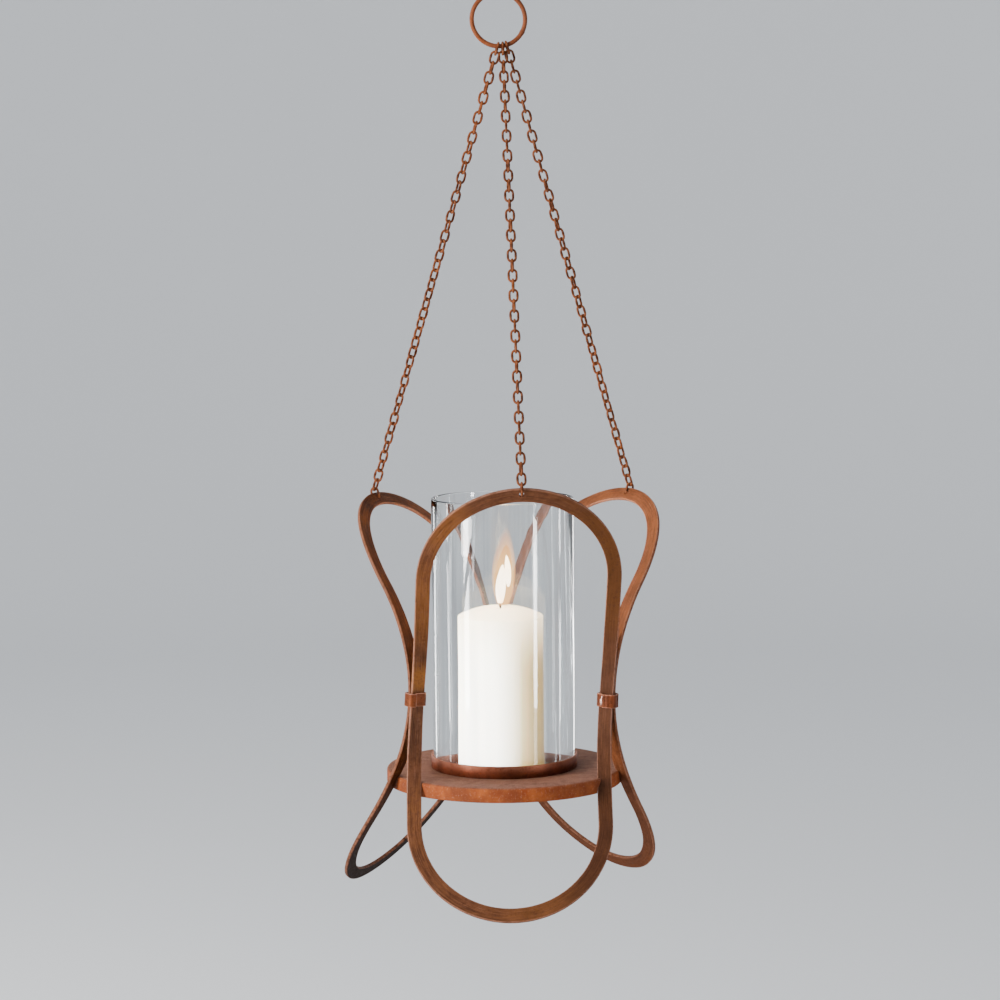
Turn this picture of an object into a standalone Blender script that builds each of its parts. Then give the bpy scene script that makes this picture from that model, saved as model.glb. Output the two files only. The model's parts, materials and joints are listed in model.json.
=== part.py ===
"""Hanging candle lantern: three bent flat-bar loops, a tray, a glass chimney and three chains.

Metres, +Z up. The origin is the hook seat, the inner top of the hanging ring. The front faces -Y.
Each loop is a flat stadium-shaped ring of bar, bent outwards above and below its waist. The three
loops stand 120 degrees apart and are strapped together, side bar to side bar, by three collars.
"""
import math

import bmesh
import bpy
import numpy as np
from mathutils import Matrix, Vector

GAP = 0.0003                     # clearance between pieces that touch
SHARP_ANGLE = math.radians(35)   # edges steeper than this are shaded sharp

# Hanging ring
RING_WIRE = 0.004
RING_OUTER = 0.051
RING_RADIUS = (RING_OUTER - RING_WIRE) / 2
RING_CENTRE_Z = -(RING_OUTER / 2 - RING_WIRE)
RING_STEPS = 28
RING_SIDES = 8

# Chain links
LINK_WIRE = 0.0018
LINK_WIDTH = 0.0086
LINK_PITCH = 0.0089
LINKS_ON_RING = {"left": -0.0010, "front": 0.0035, "right": 0.0071}    # sideways places on the ring
PIVOT_GAP = 0.0009               # play where each chain turns in its top link
RUN_WIRE = 0.0017                # square wire of the joined runs
RUN_BITE = 0.0016                # distance between the wires of two joined links
RUN_SHOULDER = 0.0027            # height of a joined link's slanted shoulder
RUN_TIP = 0.44                   # width of its end against its full width
RUN_PARTS = ("upper", "middle", "lower")

# Loops of flat bar
BAR_WIDTH = 0.0127
BAR_THICKNESS = 0.003
LOOP_HALF_WIDTH = 0.0836         # to the middle of the side bars
HALF_LENGTH = 0.193              # flat length from a loop's middle to the middle of its round end
WAIST_Z = -0.6110
WAIST_RADIUS = 0.0506            # lantern's axis to the middle of the loop's face
WAIST_RISE = 0.0056              # the waist sits this far above the middle of the flat length
TOP_BEND = 0.127                 # length over which the lean builds up above the waist
BOTTOM_BEND = 0.089
WAIST_TWIST = math.radians(28)   # turns neighbouring side bars back to back
TWIST_REACH = 0.066
FRAME_LEAN = 0.035               # the frame stands this far out of square to its tray, per metre
HOLE_DIAMETER = 0.0045
HOLE_TO_EDGE = 0.0052
DRILL_LENGTH = 0.02
DRILL_SIDES = 12
LINK_ABOVE_BRIDGE = 0.0009       # end link centre above the middle of the metal it hangs on

# The loops are bent by hand and differ: azimuth; lean of the top and of the foot; extra flat length of
# the top and of the foot; tilt in the loop's own plane per metre of height; sideways drift of the top
# and of the foot per metre that they lean out, since their bends aren't quite square to the bar
LOOPS = {
    "front": (math.radians(-90), np.radians((27, 36.4)), (0.002, 0.0), 0.05, (-0.226, 0.075)),
    "right": (math.radians(30), np.radians((46, 36.4)), (-0.001, 0.0015), 0.0, (0.0, 0.0)),
    "left": (math.radians(150), np.radians((47, 36.4)), (0.0, 0.0045), 0.0, (0.0, 0.0)),
}
# Azimuth of each corner, the loops that meet there in turning order, and the collar's drop below the waist
CORNERS = {
    "front_left": (math.radians(210), "left", "front", 0.0015),
    "front_right": (math.radians(330), "front", "right", 0.0065),
    "back": (math.radians(90), "right", "left", 0.0040),
}
LOOP_TO_CORNER = math.radians(60)    # from a loop's middle to the corner where it meets the next

# Line along X that the three chains and the frame swing about, midway between the chains' pivots
SWING_Y = -0.0002
SWING_Z = -0.0490

# Collars at the waist
COLLAR_HEIGHT = 0.0118
COLLAR_WALL = 0.0015
COLLAR_INNER_CORNER = 0.0008
COLLAR_OUTER_CORNER = 0.0022

# Tray, glass holder and glass
TRAY_RADIUS = 0.1053
TRAY_TOP_Z = -0.6834
TRAY_SHEET = 0.0016
TRAY_RIM = 0.0125
TRAY_EDGE = 0.0012
TRAY_STEPS = 60
NOTCH_CLEARANCE = 0.0008
HOLDER_INNER = 0.0640
HOLDER_WALL = 0.0015
HOLDER_HEIGHT = 0.0112
GLASS_STEPS = 48
GLASS_RADIUS = 0.0635
GLASS_WALL = 0.0026
GLASS_HEIGHT = 0.2416
WELD_SIZE = Vector((0.0026, 0.0015, 0.0012))

# Candle
CANDLE_RADIUS = 0.038
CANDLE_SIDE = 0.136
CANDLE_DOME = 0.0065
CANDLE_FOOT = 0.002              # bevel round the bottom edge
CANDLE_STEPS = 32
CANDLE_PLACE = Vector((-0.0025, 0.0, TRAY_TOP_Z + GAP))
WICK_RADIUS = 0.0012
WICK_SIDES = 8
WICK_DEPTH = 0.012
WICK_HEIGHT = 0.012

UP = Vector((0, 0, 1))
SIDEWAYS = Vector((1, 0, 0))
DEPTHWAYS = Vector((0, 1, 0))


def clear_scene():
    for obj in list(bpy.data.objects):
        bpy.data.objects.remove(obj, do_unlink=True)


def material(name, colour, roughness, metallic, transmission=0.0):
    mat = bpy.data.materials.new(name)
    mat.use_nodes = True
    shader = mat.node_tree.nodes["Principled BSDF"]
    shader.inputs["Base Color"].default_value = (*colour, 1.0)
    shader.inputs["Roughness"].default_value = roughness
    shader.inputs["Metallic"].default_value = metallic
    shader.inputs["Transmission Weight"].default_value = transmission
    mat.diffuse_color = (*colour, 1.0)
    return mat


def make_object(name, mesh, mat, parent=None, location=(0, 0, 0)):
    """Link a finished mesh as one sub-part; under a parent it keeps its place in the world."""
    obj = bpy.data.objects.new(name, mesh)
    bpy.context.collection.objects.link(obj)
    obj.location = location
    if mat is not None:
        mesh.materials.append(mat)
    if parent is not None:
        obj.parent = parent
        obj.matrix_parent_inverse = Matrix.Translation(-Vector(parent["world"]))
    mesh.shade_smooth()
    mesh.set_sharp_from_angle(angle=SHARP_ANGLE)
    return obj


def make_empty(name, world, parent=None):
    """An axis that pieces hang on."""
    empty = bpy.data.objects.new(name, None)
    bpy.context.collection.objects.link(empty)
    empty.location = world
    empty["world"] = tuple(world)
    if parent is not None:
        empty.parent = parent
        empty.matrix_parent_inverse = Matrix.Translation(-Vector(parent["world"]))
    return empty


def hide_cutter(obj):
    obj.hide_render = True
    obj.display_type = "WIRE"
    return obj


def add_boolean(obj, tool, operation):
    mod = obj.modifiers.new(operation.lower(), "BOOLEAN")
    mod.operation = operation
    mod.solver = "EXACT"
    mod.object = hide_cutter(tool)


def mesh_from_bmesh(name, bm):
    bmesh.ops.recalc_face_normals(bm, faces=bm.faces)
    mesh = bpy.data.meshes.new(name)
    bm.to_mesh(mesh)
    bm.free()
    return mesh


def add_tube(bm, sections):
    """Join closed cross-sections, each a list of points, into one endless tube."""
    rings = [[bm.verts.new(point) for point in section] for section in sections]
    for ring, following in zip(rings, rings[1:] + rings[:1]):
        for i in range(len(ring)):
            j = (i + 1) % len(ring)
            bm.faces.new((ring[i], ring[j], following[j], following[i]))


def lathe(name, profile, steps):
    """Turn a closed outline of (radius, height) points about Z; radius 0 points become poles."""
    bm = bmesh.new()
    turned = []
    for radius, height in profile:
        if radius == 0:
            turned.append([bm.verts.new((0, 0, height))])
            continue
        turns = (2 * math.pi * k / steps for k in range(steps))
        turned.append([bm.verts.new((radius * math.cos(a), radius * math.sin(a), height)) for a in turns])
    for lower, upper in zip(turned, turned[1:] + turned[:1]):
        if len(lower) == 1 and len(upper) == 1:
            continue
        for k in range(steps):
            n = (k + 1) % steps
            corners = [lower[0]] if len(lower) == 1 else [lower[k], lower[n]]
            corners += [upper[0]] if len(upper) == 1 else [upper[n], upper[k]]
            bm.faces.new(corners)
    return mesh_from_bmesh(name, bm)


def cylinder_mesh(name, radius, length, sides):
    bm = bmesh.new()
    bmesh.ops.create_cone(bm, cap_ends=True, segments=sides, radius1=radius, radius2=radius, depth=length)
    return mesh_from_bmesh(name, bm)


def frame_matrix(x_axis, y_axis, z_axis, place):
    matrix = Matrix((x_axis, y_axis, z_axis)).transposed().to_4x4()
    matrix.translation = place
    return matrix


class Loop:
    """One bent loop: maps its flat pattern (u across, v up) to the lantern's own space."""

    def __init__(self, azimuth, leans, extra, tilt, drifts):
        self.out = Vector((math.cos(azimuth), math.sin(azimuth), 0))
        self.across = Vector((-math.sin(azimuth), math.cos(azimuth), 0))
        self.top = HALF_LENGTH + extra[0]
        self.bottom = -HALF_LENGTH - extra[1]
        self.v = np.linspace(1.1 * self.bottom, 1.1 * self.top, 801)
        rise = self.v - WAIST_RISE
        top = leans[0] * np.tanh(rise / TOP_BEND)
        bottom = leans[1] * np.tanh(rise / BOTTOM_BEND)
        self.lean = np.where(rise > 0, top, bottom)
        bulge = self.sum_along(np.sin(self.lean))
        rise = self.sum_along(np.cos(self.lean))
        self.radius = bulge + WAIST_RADIUS
        self.height = rise + WAIST_Z
        self.drift = tilt * rise + np.where(rise > 0, drifts[0], drifts[1]) * bulge

    def sum_along(self, slope):
        steps = (slope[1:] + slope[:-1]) / 2 * np.diff(self.v)
        total = np.concatenate(([0.0], np.cumsum(steps)))
        return total - np.interp(WAIST_RISE, self.v, total)

    def point(self, u, v):
        radius = float(np.interp(v, self.v, self.radius))
        height = float(np.interp(v, self.v, self.height))
        drift = float(np.interp(v, self.v, self.drift))
        skew = FRAME_LEAN * (height - TRAY_TOP_Z)
        return self.out * radius + self.across * (u + drift) + UP * height + SIDEWAYS * skew

    def up(self, v):
        lean = float(np.interp(v, self.v, self.lean))
        return self.out * math.sin(lean) + UP * math.cos(lean)

    def bar_axes(self, v, edge):
        """Width and face directions of the bar; edge is its outward direction in the flat pattern."""
        up = self.up(v)
        face = self.across.cross(up)
        width = self.across * edge[0] + up * edge[1]
        twist = WAIST_TWIST * math.exp(-((v - WAIST_RISE) / TWIST_REACH) ** 2) * abs(edge[0])
        turned_width = width * math.cos(twist) + face * math.sin(twist)
        turned_face = face * math.cos(twist) - width * math.sin(twist)
        return turned_width, turned_face

    def stations(self, arc_steps=16, side_steps=15):
        """Middle line of the bar in the flat pattern, with its outward direction."""
        half = LOOP_HALF_WIDTH
        top_centre = self.top - half
        bottom_centre = self.bottom + half
        line = []
        for k in range(arc_steps):
            a = math.pi * k / arc_steps
            line.append((half * math.cos(a), top_centre + half * math.sin(a), (math.cos(a), math.sin(a))))
        for k in range(side_steps):
            v = top_centre + (bottom_centre - top_centre) * k / side_steps
            line.append((-half, v, (-1.0, 0.0)))
        for k in range(arc_steps):
            a = math.pi * (1 + k / arc_steps)
            line.append((half * math.cos(a), bottom_centre + half * math.sin(a), (math.cos(a), math.sin(a))))
        for k in range(side_steps):
            v = bottom_centre + (top_centre - bottom_centre) * k / side_steps
            line.append((half, v, (1.0, 0.0)))
        return line

    def mesh(self, name):
        bm = bmesh.new()
        sections = []
        for u, v, edge in self.stations():
            width, face = self.bar_axes(v, edge)
            a = width * BAR_WIDTH / 2
            b = face * BAR_THICKNESS / 2
            middle = self.point(u, v)
            sections.append([middle + a + b, middle - a + b, middle - a - b, middle + a - b])
        add_tube(bm, sections)
        return mesh_from_bmesh(name, bm)

    def hole(self):
        """Place, upward direction and outward direction of the chain's hole."""
        v = self.top + BAR_WIDTH / 2 - HOLE_TO_EDGE
        up = self.up(v)
        return self.point(0, v), up, self.across.cross(up)

    def side_bar_at(self, height, side):
        """Middle, width, face and run directions of a side bar where it passes a height."""
        v = float(np.interp(height, self.height, self.v))
        width, face = self.bar_axes(v, (float(side), 0.0))
        u, step = side * LOOP_HALF_WIDTH, 0.001
        run = (self.point(u, v + step) - self.point(u, v - step)).normalized()
        return self.point(u, v), width, face, run


def ring_mesh(name):
    """Round wire bent to a circle in the XZ plane."""
    bm = bmesh.new()
    sections = []
    for k in range(RING_STEPS):
        a = 2 * math.pi * k / RING_STEPS
        out = Vector((math.sin(a), 0, -math.cos(a)))
        middle = out * RING_RADIUS + UP * RING_CENTRE_Z
        section = []
        for s in range(RING_SIDES):
            t = 2 * math.pi * (s + 0.5) / RING_SIDES
            section.append(middle + (out * math.cos(t) + DEPTHWAYS * math.sin(t)) * RING_WIRE / 2)
        sections.append(section)
    add_tube(bm, sections)
    return mesh_from_bmesh(name, bm)


def add_link(bm, centre, down, wide, half_height, wire, arc_steps, sides):
    """One chain link; down runs along it and wide across it."""
    flat = down.cross(wide).normalized()
    bend = (LINK_WIDTH - LINK_WIRE) / 2
    corners = []
    if arc_steps == 1:
        for s, t in ((1, 1), (1, -1), (-1, -1), (-1, 1)):
            shoulder = (bend * s, (half_height - RUN_SHOULDER) * t)
            tip = (bend * RUN_TIP * s, half_height * t)
            corners += [shoulder, tip] if s * t < 0 else [tip, shoulder]
    else:
        straight = half_height - bend
        for k in range(arc_steps + 1):
            a = math.pi * k / arc_steps
            corners.append((bend * math.cos(a), straight + bend * math.sin(a)))
        for k in range(arc_steps + 1):
            a = math.pi * (1 + k / arc_steps)
            corners.append((bend * math.cos(a), -straight + bend * math.sin(a)))
    count = len(corners)
    sections = []
    for i, (x, y) in enumerate(corners):
        before, after = Vector(corners[i - 1]), Vector(corners[(i + 1) % count])
        here = Vector((x, y))
        way = ((after - here).normalized() + (here - before).normalized()).normalized()
        out = wide * way.y + down * -way.x
        mitre = 1 / max(0.5, way.dot((after - here).normalized()))
        middle = centre + wide * x + down * y
        section = []
        for s in range(sides):
            t = 2 * math.pi * (s + 0.5) / sides
            reach = wire / 2 / math.cos(math.pi / sides)
            section.append(middle + out * (math.cos(t) * reach * mitre) + flat * (math.sin(t) * reach))
        sections.append(section)
    add_tube(bm, sections)


def single_link_mesh(name, centre, down, wide):
    bm = bmesh.new()
    half_height = (LINK_PITCH + LINK_WIRE) / 2
    add_link(bm, centre, down, wide, half_height, LINK_WIRE, arc_steps=7, sides=6)
    return mesh_from_bmesh(name, bm)


class Chain:
    """One chain, straight from the hanging ring to its loop's hole."""

    def __init__(self, loop, shift):
        on_ring = math.asin(shift / RING_RADIUS)
        seat = Vector((math.sin(on_ring), 0, -math.cos(on_ring))) * RING_RADIUS + UP * RING_CENTRE_Z
        hole, loop_up, loop_out = loop.hole()
        half_height = (LINK_PITCH + LINK_WIRE) / 2

        lift = ((seat - hole).normalized() + loop_up).normalized()
        self.end_down = -lift
        self.end_wide = (loop_out - lift * loop_out.dot(lift)).normalized()
        bridge = (HOLE_DIAMETER / 2 + HOLE_TO_EDGE) / 2
        self.end_centre = hole + loop_up * bridge + lift * LINK_ABOVE_BRIDGE
        last_wire = self.end_centre + lift * (half_height - LINK_WIRE - GAP)

        self.down = (last_wire - seat).normalized()
        self.top_wide = (DEPTHWAYS - self.down * DEPTHWAYS.dot(self.down)).normalized()
        ring_step = RING_WIRE / 2 + LINK_WIRE / 2 + GAP
        self.top_centre = seat + self.down * (half_height - ring_step)
        self.pivot = self.top_centre + self.down * (half_height - LINK_WIRE - PIVOT_GAP)
        self.lay_run(self.pivot, last_wire)

    def lay_run(self, first_wire, last_wire):
        """Work out the joined links between the two end links: places, turns and length."""
        length = (last_wire - first_wire).length
        split = RUN_WIRE + GAP - RUN_BITE
        count = int(length / LINK_PITCH)
        count -= 1 - count % 2
        breaks = len(RUN_PARTS) - 1
        self.pitch = (length - RUN_BITE + breaks * split) / count
        self.half_height = (self.pitch + RUN_BITE) / 2

        side = self.down.cross(self.top_wide)
        end_angle = math.atan2(self.end_wide.dot(side), self.end_wide.dot(self.top_wide))
        quarter = math.pi / 2
        turn = (end_angle - quarter * (count + 1) + quarter) % math.pi - quarter

        self.parts = {part: [] for part in RUN_PARTS}
        travelled = self.half_height
        previous = RUN_PARTS[0]
        for i in range(count):
            part = RUN_PARTS[min(i * len(RUN_PARTS) // count, breaks)]
            if part != previous:
                travelled -= split
                previous = part
            angle = quarter * (i + 1) + turn * (i + 1) / (count + 1)
            wide = self.top_wide * math.cos(angle) + side * math.sin(angle)
            self.parts[part].append((first_wire + self.down * travelled, wide))
            travelled += self.pitch

    def run_mesh(self, name, links):
        bm = bmesh.new()
        for centre, wide in links:
            add_link(bm, centre, self.down, wide, self.half_height, RUN_WIRE, arc_steps=1, sides=4)
        return mesh_from_bmesh(name, bm)


def rounded_rectangle(length, width, corner, steps=3):
    outline = []
    for quadrant in range(4):
        sx = 1 if quadrant in (0, 3) else -1
        sy = 1 if quadrant in (0, 1) else -1
        for k in range(steps):
            a = math.pi / 2 * (quadrant + k / (steps - 1))
            x = sx * (length / 2 - corner) + corner * math.cos(a)
            y = sy * (width / 2 - corner) + corner * math.sin(a)
            outline.append((x, y))
    return outline


def collar_mesh(name, length, width):
    """A band around two bars, X along their width and Y through their thickness."""
    inner = rounded_rectangle(length, width, COLLAR_INNER_CORNER)
    outer = rounded_rectangle(length + 2 * COLLAR_WALL, width + 2 * COLLAR_WALL, COLLAR_OUTER_CORNER)
    bm = bmesh.new()
    half = COLLAR_HEIGHT / 2
    sections = []
    for (ix, iy), (ox, oy) in zip(inner, outer):
        sections.append([(ix, iy, -half), (ox, oy, -half), (ox, oy, half), (ix, iy, half)])
    add_tube(bm, sections)
    return mesh_from_bmesh(name, bm)


def build_collars(loops, mat, parent):
    """Each band holds the side bars of two loops, back to back, and follows the way they run."""
    leftover = math.pi / 2 - LOOP_TO_CORNER - WAIST_TWIST
    bar_across = BAR_WIDTH * math.sin(leftover) + BAR_THICKNESS * math.cos(leftover)
    bar_along = BAR_WIDTH * math.cos(leftover) + BAR_THICKNESS * math.sin(leftover)
    for corner, (azimuth, first, second, drop) in CORNERS.items():
        pairs = []
        for end in (-1, 1):
            height = WAIST_Z - drop + end * COLLAR_HEIGHT / 2
            pairs.append((loops[first].side_bar_at(height, 1)[0], loops[second].side_bar_at(height, -1)[0]))
        foot, head = ((one + other) / 2 for one, other in pairs)
        run = (head - foot).normalized()
        out = Vector((math.cos(azimuth), math.sin(azimuth), 0))
        out = (out - run * out.dot(run)).normalized()
        across = run.cross(out)
        width = bar_across + 4 * GAP + max(abs((one - other).dot(across)) for one, other in pairs)
        length = bar_along + 4 * GAP + max(abs((one - other).dot(out)) for one, other in pairs)
        obj = make_object(f"collar_{corner}", collar_mesh("collar", length, width), mat, parent, (foot + head) / 2)
        obj.rotation_euler = frame_matrix(out, across, run, (0, 0, 0)).to_euler()


def build_tray(loops, mat, weld_mat, parent):
    """Dished disc with a turned-down rim, notched where the six side bars pass, and its welds."""
    edge = TRAY_EDGE
    inside = TRAY_RADIUS - TRAY_SHEET
    profile = [
        (0, 0), (TRAY_RADIUS - edge, 0), (TRAY_RADIUS, -edge), (TRAY_RADIUS, -TRAY_RIM),
        (inside, -TRAY_RIM), (inside, -TRAY_SHEET), (0, -TRAY_SHEET),
    ]
    tray = make_object("tray", lathe("tray", profile, TRAY_STEPS), mat, parent, (0, 0, TRAY_TOP_Z))
    middle_z = TRAY_TOP_Z - TRAY_RIM / 2
    cut = bmesh.new()
    for name, loop in loops.items():
        for side, side_name in ((-1, "left"), (1, "right")):
            place, width, face, run = loop.side_bar_at(middle_z, side)
            box = frame_matrix(width, face, run, place)
            size = (BAR_WIDTH + 2 * NOTCH_CLEARANCE, BAR_THICKNESS + 2 * NOTCH_CLEARANCE, 4 * TRAY_RIM)
            scale = Matrix.Diagonal((*size, 1))
            bmesh.ops.create_cube(cut, size=1, matrix=box @ scale)
            build_weld(f"tray_weld_{name}_{side_name}", loop, side, weld_mat, parent)
    cutter = make_object("tray_notches", mesh_from_bmesh("tray_notches", cut), None, parent)
    add_boolean(tray, cutter, "DIFFERENCE")


def build_weld(name, loop, side, mat, parent):
    """Bead under the tray's sheet, against the inner edge of a side bar and clear of the tray's rim."""
    underside = TRAY_TOP_Z - TRAY_SHEET
    place, width, face, run = loop.side_bar_at(underside, side)
    bm = bmesh.new()
    bmesh.ops.create_icosphere(bm, subdivisions=1, radius=1)
    bmesh.ops.scale(bm, vec=WELD_SIZE, verts=bm.verts)
    inward = -width
    inward.z = 0
    inward.normalize()
    place = place + inward * (BAR_WIDTH / 2 + WELD_SIZE.x + NOTCH_CLEARANCE)
    place.z = 0
    place *= min(1, (TRAY_RADIUS - TRAY_SHEET - WELD_SIZE.x - 2 * GAP) / place.length)
    place.z = underside - WELD_SIZE.z - GAP
    obj = make_object(name, mesh_from_bmesh(name, bm), mat, parent, place)
    obj.rotation_euler = (0, 0, math.atan2(inward.y, inward.x))


def build_holder_and_glass(holder_mat, glass_mat, parent):
    outer = HOLDER_INNER + HOLDER_WALL
    profile = [(HOLDER_INNER, 0), (outer, 0), (outer, HOLDER_HEIGHT), (HOLDER_INNER, HOLDER_HEIGHT)]
    place = (0, 0, TRAY_TOP_Z + GAP)
    make_object("glass_holder", lathe("glass_holder", profile, GLASS_STEPS), holder_mat, parent, place)
    bore = GLASS_RADIUS - GLASS_WALL
    profile = [(bore, 0), (GLASS_RADIUS, 0), (GLASS_RADIUS, GLASS_HEIGHT), (bore, GLASS_HEIGHT)]
    make_object("glass_chimney", lathe("glass_chimney", profile, GLASS_STEPS), glass_mat, parent, place)


def build_candle(wax_mat, wick_mat, parent):
    """Pillar candle with a low domed top and a small well that the wick stands in."""
    well = WICK_RADIUS + 2 * GAP
    top = CANDLE_SIDE + CANDLE_DOME
    foot = CANDLE_RADIUS - CANDLE_FOOT
    profile = [(0, 0), (foot, 0), (CANDLE_RADIUS, CANDLE_FOOT), (CANDLE_RADIUS, CANDLE_SIDE)]
    dome_steps = 5
    for k in range(1, dome_steps):
        a = math.pi / 2 * k / dome_steps
        profile.append((CANDLE_RADIUS * math.cos(a), CANDLE_SIDE + CANDLE_DOME * math.sin(a)))
    profile += [(well, top), (well, top - WICK_DEPTH), (0, top - WICK_DEPTH)]
    candle = make_object("candle", lathe("candle", profile, CANDLE_STEPS), wax_mat, parent, CANDLE_PLACE)
    length = WICK_DEPTH + WICK_HEIGHT - GAP
    mesh = cylinder_mesh("wick", WICK_RADIUS, length, WICK_SIDES)
    middle = CANDLE_PLACE + UP * (top - WICK_DEPTH + GAP + length / 2)
    wick = make_object("wick", mesh, wick_mat, None, middle - CANDLE_PLACE)
    wick.parent = candle


def build_chain(name, chain, mat, top_parent, parent):
    mesh = single_link_mesh("top_link", chain.top_centre, chain.down, chain.top_wide)
    make_object(f"chain_{name}_top_link", mesh, mat, top_parent)
    for part, links in chain.parts.items():
        mesh = chain.run_mesh("run", links[::2])
        run = make_object(f"chain_{name}_{part}_run", mesh, mat, parent)
        mesh = chain.run_mesh("between", links[1::2])
        between = make_object(f"chain_{name}_{part}_between", mesh, mat, parent)
        add_boolean(run, between, "UNION")
    mesh = single_link_mesh("end_link", chain.end_centre, chain.end_down, chain.end_wide)
    make_object(f"chain_{name}_end_link", mesh, mat, parent)


def build_loop(name, loop, mat, parent):
    obj = make_object(f"loop_{name}", loop.mesh(name), mat, parent)
    place, up, out = loop.hole()
    mesh = cylinder_mesh("drill", HOLE_DIAMETER / 2, DRILL_LENGTH, DRILL_SIDES)
    drill = make_object(f"drill_{name}", mesh, None)
    drill.matrix_world = frame_matrix(up.cross(out), up, out, place)
    add_boolean(obj, drill, "DIFFERENCE")


def build():
    clear_scene()
    rust = material("rusted_bar", (0.30, 0.13, 0.06), 0.7, 0.35)
    red_rust = material("red_rust", (0.36, 0.13, 0.07), 0.6, 0.4)
    tray_rust = material("tray_rust", (0.33, 0.16, 0.10), 0.75, 0.3)
    chain_rust = material("chain_rust", (0.42, 0.17, 0.08), 0.6, 0.5)
    glass = material("clear_glass", (0.95, 0.97, 0.97), 0.03, 0.0, transmission=1.0)
    wax = material("ivory_wax", (0.90, 0.84, 0.68), 0.5, 0.0)
    char = material("charred_wick", (0.03, 0.025, 0.02), 0.9, 0.0)

    loops = {name: Loop(*numbers) for name, numbers in LOOPS.items()}
    chains = {name: Chain(loops[name], shift) for name, shift in LINKS_ON_RING.items()}

    make_object("hanging_ring", ring_mesh("hanging_ring"), chain_rust)
    sway_axis = make_empty("sway_axis", (0, 0, RING_CENTRE_Z))
    swing_axis = make_empty("swing_axis", (0, SWING_Y, SWING_Z), sway_axis)
    for name, chain in chains.items():
        build_chain(name, chain, chain_rust, sway_axis, swing_axis)
    for name, loop in loops.items():
        build_loop(name, loop, rust, swing_axis)
    build_collars(loops, red_rust, swing_axis)
    build_tray(loops, tray_rust, red_rust, swing_axis)
    build_holder_and_glass(red_rust, glass, swing_axis)
    build_candle(wax, char, swing_axis)


build()
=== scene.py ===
import json
import math
import random

import bmesh
import bpy
import numpy as np
from mathutils import Matrix, Vector, noise


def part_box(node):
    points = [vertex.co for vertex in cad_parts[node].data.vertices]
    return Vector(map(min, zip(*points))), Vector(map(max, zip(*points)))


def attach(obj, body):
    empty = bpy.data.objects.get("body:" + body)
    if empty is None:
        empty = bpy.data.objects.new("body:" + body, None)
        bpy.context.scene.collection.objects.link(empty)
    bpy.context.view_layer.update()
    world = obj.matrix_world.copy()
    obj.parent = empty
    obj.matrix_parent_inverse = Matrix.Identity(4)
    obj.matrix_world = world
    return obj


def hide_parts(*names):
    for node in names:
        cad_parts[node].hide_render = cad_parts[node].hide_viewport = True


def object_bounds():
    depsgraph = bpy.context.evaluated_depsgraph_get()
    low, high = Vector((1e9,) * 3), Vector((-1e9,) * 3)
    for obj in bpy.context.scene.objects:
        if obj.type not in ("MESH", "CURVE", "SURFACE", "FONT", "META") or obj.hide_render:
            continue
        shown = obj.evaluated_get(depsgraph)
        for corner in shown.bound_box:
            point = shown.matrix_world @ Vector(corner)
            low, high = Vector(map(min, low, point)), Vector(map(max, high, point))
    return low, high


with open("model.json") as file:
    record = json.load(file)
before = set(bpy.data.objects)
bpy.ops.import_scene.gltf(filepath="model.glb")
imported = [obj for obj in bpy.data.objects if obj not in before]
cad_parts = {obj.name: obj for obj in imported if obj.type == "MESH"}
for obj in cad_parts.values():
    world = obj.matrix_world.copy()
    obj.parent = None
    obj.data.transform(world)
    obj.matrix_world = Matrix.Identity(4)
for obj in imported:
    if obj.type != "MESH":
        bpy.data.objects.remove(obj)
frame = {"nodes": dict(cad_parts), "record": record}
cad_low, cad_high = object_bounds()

UP = Vector((0, 0, 1))
SIDEWAYS = Vector((1, 0, 0))

# Loops of flat bar, as in the CAD
BAR_WIDTH = 0.0127
BAR_THICKNESS = 0.003
BAR_CORNER = 0.0005
LOOP_HALF_WIDTH = 0.0836
HALF_LENGTH = 0.193
WAIST_Z = -0.6110
WAIST_RADIUS = 0.0506
WAIST_RISE = 0.0056
TOP_BEND = 0.127
BOTTOM_BEND = 0.089
WAIST_TWIST = math.radians(28)
TWIST_REACH = 0.066
FRAME_LEAN = 0.035
HOLE_DIAMETER = 0.0045
HOLE_TO_EDGE = 0.0052
LOOPS = {
    "front": (math.radians(-90), np.radians((27, 36.4)), (0.002, 0.0), 0.05, (-0.226, 0.075)),
    "right": (math.radians(30), np.radians((46, 36.4)), (-0.001, 0.0015), 0.0, (0.0, 0.0)),
    "left": (math.radians(150), np.radians((47, 36.4)), (0.0, 0.0045), 0.0, (0.0, 0.0)),
}
# Azimuth of each corner, and where its strap's outer end starts and stops round the strap, in degrees
CORNERS = {
    "front_left": (math.radians(210), (-80, 58)),
    "front_right": (math.radians(330), (-118, 25)),
    "back": (math.radians(90), (-70, 60)),
}
WELDED_CORNER = "front_right"    # the only strap held down by a weld that shows
SHARP_ANGLE = math.radians(40)

# Ring: where its butt weld sits round it
RING_WELD = math.radians(-29)
RING_STEPS = 144

# Chain, as in the CAD
LINK_WIRE = 0.0018
LINK_PITCH = 0.0089
LINK_LOOK = 0.00212              # the wire with its coat of rust
LINK_WIDTH = 0.0086
LINK_TURN = 0.16                 # largest random turn of a link about its chain, in radians
LINK_TILT = 0.03
LINK_PLAY = {"top": 0.0009, "end": 0.0003}
RUN_PARTS = ("upper", "middle", "lower")

# Straps
STRAP_WALL = 0.0014
STRAP_LAYER = 0.0007             # how far the overlapping end stands out
STRAP_SAG = 0.0006
STRAP_POWER = 5.0                # how square the strap's corners are
STRAP_STEPS = 96
# Lumps of its weld: share of the strap's height, offset sideways, half width, half height
STRAP_WELD_LUMPS = ((-0.12, -0.0006, 0.0015, 0.0036), (0.22, 0.0002, 0.0011, 0.0022),
                    (0.04, 0.0040, 0.0010, 0.0016))

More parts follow.
